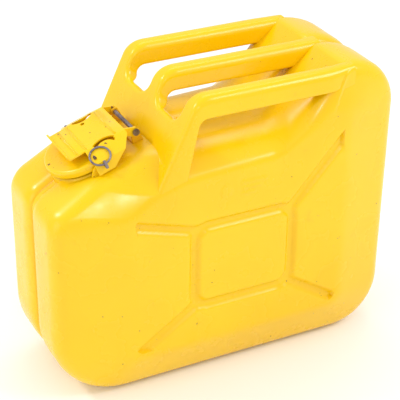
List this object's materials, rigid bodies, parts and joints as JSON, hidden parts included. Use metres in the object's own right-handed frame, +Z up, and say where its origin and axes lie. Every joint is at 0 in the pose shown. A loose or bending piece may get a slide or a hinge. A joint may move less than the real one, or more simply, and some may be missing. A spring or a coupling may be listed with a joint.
{
  "type": "jerry can",
  "caption": "Pressed-steel jerry can with three handle bars, cross-pressed sides and a clamp-lever lid held by a ring-pull locking pin.",
  "frame": {"origin": "middle of the base, where the can stands", "axes": "+X along the can from the filler to the rear, +Y towards its left side, +Z up"},
  "size_m": [0.345, 0.152, 0.293],
  "materials": {
    "paint": "glossy yellow enamel with small chips round the closure",
    "steel": "dull zinc-plated steel",
    "rubber": "matt black rubber"
  },
  "bodies": {
    "can": {"shell_right": "paint", "shell_left": "paint", "seam_band": "paint", "handle_front_plate": "paint", "handle_bar_right": "paint", "handle_bar_centre": "paint", "handle_bar_left": "paint", "neck_collar": "paint", "filler_neck": "paint", "breather_tube": "steel", "breather_clip": "steel", "hinge_bracket": "paint", "hinge_pin": "steel", "catch_lug_right": "paint", "catch_lug_left": "paint"},
    "lever": {"clamp_lever": "paint", "lid_cross_pin": "steel"},
    "lid": {"lid": "paint", "lid_bridge": "paint", "lid_rivet": "steel", "lid_gasket": "rubber", "gasket_retainer": "steel"},
    "locking_pin": {"locking_pin": "steel"},
    "split_ring": {"split_ring": "steel"}
  },
  "joints": [
    {"name": "lever_swing", "type": "hinge", "parent": "can", "child": "lever", "pos_m": [-0.07827, 0, 0.24862], "axis": [0, 1, 0], "range_deg": [0, 110]},
    {"name": "lid_rock", "type": "hinge", "parent": "lever", "child": "lid", "pos_m": [-0.12103, 0, 0.23657], "axis": [0, -1, 0], "range_deg": [0, 8]},
    {"name": "pin_pull", "type": "slide", "parent": "lever", "child": "locking_pin", "axis": [0, -1, 0], "range_m": [0, 0.014]},
    {"name": "ring_swing", "type": "hinge", "parent": "locking_pin", "child": "split_ring", "pos_m": [-0.11557, -0.044, 0.23472], "axis": [0.9397, 0, 0.342], "range_deg": [0, 150]}
  ],
  "couplings": [
    {"joint": "lid_rock", "follows": "lever_swing", "ratio": 0.0727}
  ]
}
